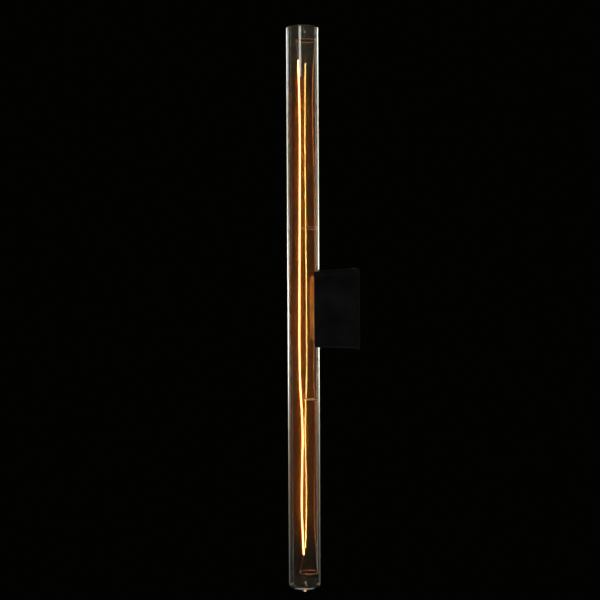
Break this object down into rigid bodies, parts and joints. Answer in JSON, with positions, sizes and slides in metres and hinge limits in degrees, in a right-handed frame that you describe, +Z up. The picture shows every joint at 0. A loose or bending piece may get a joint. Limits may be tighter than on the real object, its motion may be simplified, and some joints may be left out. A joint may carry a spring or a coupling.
{
  "type": "tubular light bulb in a wall holder",
  "caption": "Clear straight tubular lamp with a long glowing filament on wire supports, plugged by the base at its middle into a black box holder that screws to a wall.",
  "frame": {"origin": "middle of the holder's wall face", "axes": "+Z up along the tube, +Y into the wall, +X to the right when facing the wall"},
  "size_m": [0.037, 0.0615, 0.5],
  "materials": {
    "clear_glass": "clear blown glass",
    "phosphor": "phosphor coat, lit warm",
    "copper_wire": "drawn copper wire",
    "nickel_wire": "drawn nickel wire",
    "nickel_plate": "nickel-plated sheet",
    "base_plastic": "moulded black",
    "holder_plastic": "satin moulded black",
    "nest_plastic": "moulded off-white thermoset",
    "contact_brass": "stamped brass",
    "screw_steel": "zinc-plated",
    "board_laminate": "lacquered laminate",
    "capacitor_sleeve": "shrink sleeve",
    "ferrite": "sintered",
    "moulded_epoxy": "moulded",
    "resistor_lacquer": "lacquered",
    "brown_insulation": "extruded",
    "blue_insulation": "extruded"
  },
  "bodies": {
    "holder": {"wall_plate": "holder_plastic", "holder_body": "holder_plastic", "contact_carrier": "nest_plastic", "carrier_screws": "screw_steel", "contact_spring_upper": "contact_brass", "contact_spring_lower": "contact_brass", "grub_screws": "screw_steel", "terminal_block": "nest_plastic", "terminal_clamps": "contact_brass", "terminal_screws": "screw_steel", "live_wire": "brown_insulation", "neutral_wire": "blue_insulation"},
    "lamp": {"glass_tube": "clear_glass", "glass_stem": "clear_glass", "filament": "phosphor", "filament_pins": "copper_wire", "top_ring": "copper_wire", "bottom_ring": "copper_wire", "upper_support": "nickel_wire", "lower_support": "nickel_wire", "upper_lead": "copper_wire", "lower_lead": "copper_wire", "base_flange": "nickel_plate", "base_shell": "base_plastic", "base_cap": "base_plastic", "contact_plate_upper": "contact_brass", "contact_plate_lower": "contact_brass", "driver_board": "board_laminate", "driver_capacitor": "capacitor_sleeve", "driver_choke": "ferrite", "driver_rectifier": "moulded_epoxy", "driver_resistor": "resistor_lacquer"}
  },
  "joints": [
    {"name": "lamp_withdraw", "type": "slide", "parent": "holder", "child": "lamp", "axis": [0, -1, 0], "range_m": [0, 0.03]}
  ]
}
